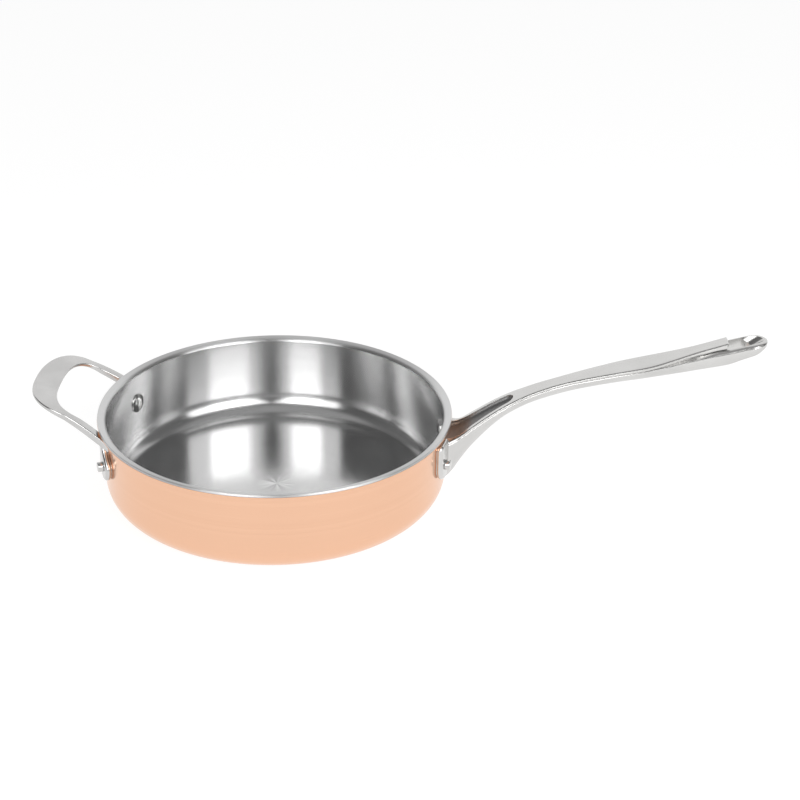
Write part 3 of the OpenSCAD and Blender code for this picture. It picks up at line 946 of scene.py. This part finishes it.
def dress_trough(obj):
    """Gives the faces inside the open trough the matt finish with painted shade."""
    obj.data.materials.append(matt_painted_shade)
    for face in obj.data.polygons:
        x, y, z = face.center / MM
        s = (x - WALL_OUT) / REACH
        if not FIRST < s < TROUGH_AT:
            continue
        beside, below = abs(y) - trough_half(s), deck_z(s) - z
        if beside < TROUGH_MARGIN and TROUGH_TOP < below < TROUGH_LOW:
            face.material_index = 1


for piece, material, replaced, slot in (
        (copper, copper_finish, "copper_skin", "copper"),
        (lining, steel, "steel_lining", "lining_steel"),
        (long_handle, cast, "long_handle", "cast_steel"),
        (helper_handle, cast_helper, "helper_handle", "cast_steel"),
        (long_rivets, polished, "long_handle_rivets", "rivet_steel"),
        (helper_rivets, polished, "helper_handle_rivets", "rivet_steel")):
    dress(piece, material)
    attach(piece, "root")
    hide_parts(replaced)
dress_trough(long_handle)
dress(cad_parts["aluminium_core"], raw_aluminium)


# Floor, lamps and camera

FLOOR_SIZE, FLOOR_Z, FLOOR_GREY, FLOOR_WHITE = 12.0, -0.0005, 0.24, 0.86
LAMP_ELEVATION, LAMP_DISTANCE = 30, 1.7
# Name, azimuth in degrees, width, height and power of each lamp
LAMPS = (("box_right", -43.5, 1.6, 1.24, 12.5), ("box_left", -109.5, 1.22, 1.24, 9),
         ("box_right_middle", -48, 0.8, 0.8, 6.5), ("box_left_middle", -106, 0.6, 0.8, 5))


def floor():
    """Pale floor that shows as white and keeps a faint shadow of the pan."""
    size, level = FLOOR_SIZE, FLOOR_Z
    obj = new_object("studio_floor", [(-size, -size, level), (size, -size, level),
                                      (size, size, level), (-size, size, level)], [[0, 1, 2, 3]])
    material = bpy.data.materials.new("floor_white")
    material.use_nodes = True
    tree = material.node_tree
    shader = tree.nodes["Principled BSDF"]
    shader.inputs["Base Color"].default_value = (*grey(FLOOR_GREY), 1)
    shader.inputs["Roughness"].default_value = 0.9
    shader.inputs["Specular IOR Level"].default_value = 0.0
    path = node(tree, "ShaderNodeLightPath")
    seen = link_math(tree, "MAXIMUM", path.outputs["Is Camera Ray"], path.outputs["Is Glossy Ray"])
    seen = link_math(tree, "MAXIMUM", seen, path.outputs["Is Transmission Ray"])
    white = node(tree, "ShaderNodeEmission", Strength=FLOOR_WHITE)
    blank = node(tree, "ShaderNodeEmission", Strength=0.0)
    pick = node(tree, "ShaderNodeMixShader")
    wire(tree, seen, pick.inputs[0])
    wire(tree, blank.outputs[0], pick.inputs[1])
    wire(tree, white.outputs[0], pick.inputs[2])
    both = node(tree, "ShaderNodeAddShader")
    wire(tree, shader.outputs[0], both.inputs[0])
    wire(tree, pick.outputs[0], both.inputs[1])
    wire(tree, both.outputs[0], tree.nodes["Material Output"].inputs["Surface"])
    dress(obj, material)


def softbox(name, azimuth, width, height, power):
    """Soft rectangular lamp that faces the pan."""
    lamp = bpy.data.lights.new(name, "AREA")
    lamp.shape = "RECTANGLE"
    lamp.size, lamp.size_y = width, height
    lamp.energy = power
    obj = bpy.data.objects.new(name, lamp)
    bpy.context.scene.collection.objects.link(obj)
    a, e = math.radians(azimuth), math.radians(LAMP_ELEVATION)
    obj.location = (LAMP_DISTANCE * math.cos(e) * math.cos(a),
                    LAMP_DISTANCE * math.cos(e) * math.sin(a), LAMP_DISTANCE * math.sin(e))
    obj.rotation_euler = (-Vector(obj.location)).to_track_quat("-Z", "Y").to_euler()


def studio_world():
    """White backdrop behind the pan and along the horizon, grey elsewhere."""
    world = bpy.data.worlds.new("studio")
    bpy.context.scene.world = world
    world.use_nodes = True
    tree = world.node_tree
    place = node(tree, "ShaderNodeTexCoord")
    split = node(tree, "ShaderNodeSeparateXYZ")
    wire(tree, place.outputs["Generated"], split.inputs[0])
    behind = map_range(tree, split.outputs["Y"], 0.42, 0.68, 0.0, 1.0)
    side = map_range(tree, split.outputs["Y"], -1.0, 0.4, 0.10, 0.20)
    level = link_math(tree, "MAXIMUM", behind, side)
    band = map_range(tree, split.outputs["Z"], 0.03, 0.08, 0.95, 0.0)
    level = link_math(tree, "MAXIMUM", level, band)
    ceiling = map_range(tree, split.outputs["Z"], 0.7, 0.92, 0.0, 0.42)
    level = link_math(tree, "MAXIMUM", level, ceiling)
    back = tree.nodes["Background"]
    wire(tree, level, back.inputs["Color"])
    back.inputs["Strength"].default_value = 1.0


floor()
for lamp in LAMPS:
    softbox(*lamp)
studio_world()

scene = bpy.context.scene
camera_data = bpy.data.cameras.new("camera")
camera_data.lens, camera_data.sensor_width = 81.0, 36.0
camera_data.clip_start, camera_data.clip_end = 0.01, 100.0
camera = bpy.data.objects.new("camera", camera_data)
scene.collection.objects.link(camera)
# Place and directions of the camera, fitted to the photo
eye = (0.154063, -1.219532, 0.691074)
right = (0.9983364, 0.0557102, 0.0148577)
up = (-0.0382306, 0.4467081, 0.8938626)
backward = (0.0431602, -0.8929436, 0.4480948)
facing = Matrix((right, up, backward)).transposed()
camera.matrix_world = Matrix.Translation(eye) @ facing.to_4x4()
scene.camera = camera
scene.view_settings.view_transform = "Standard"
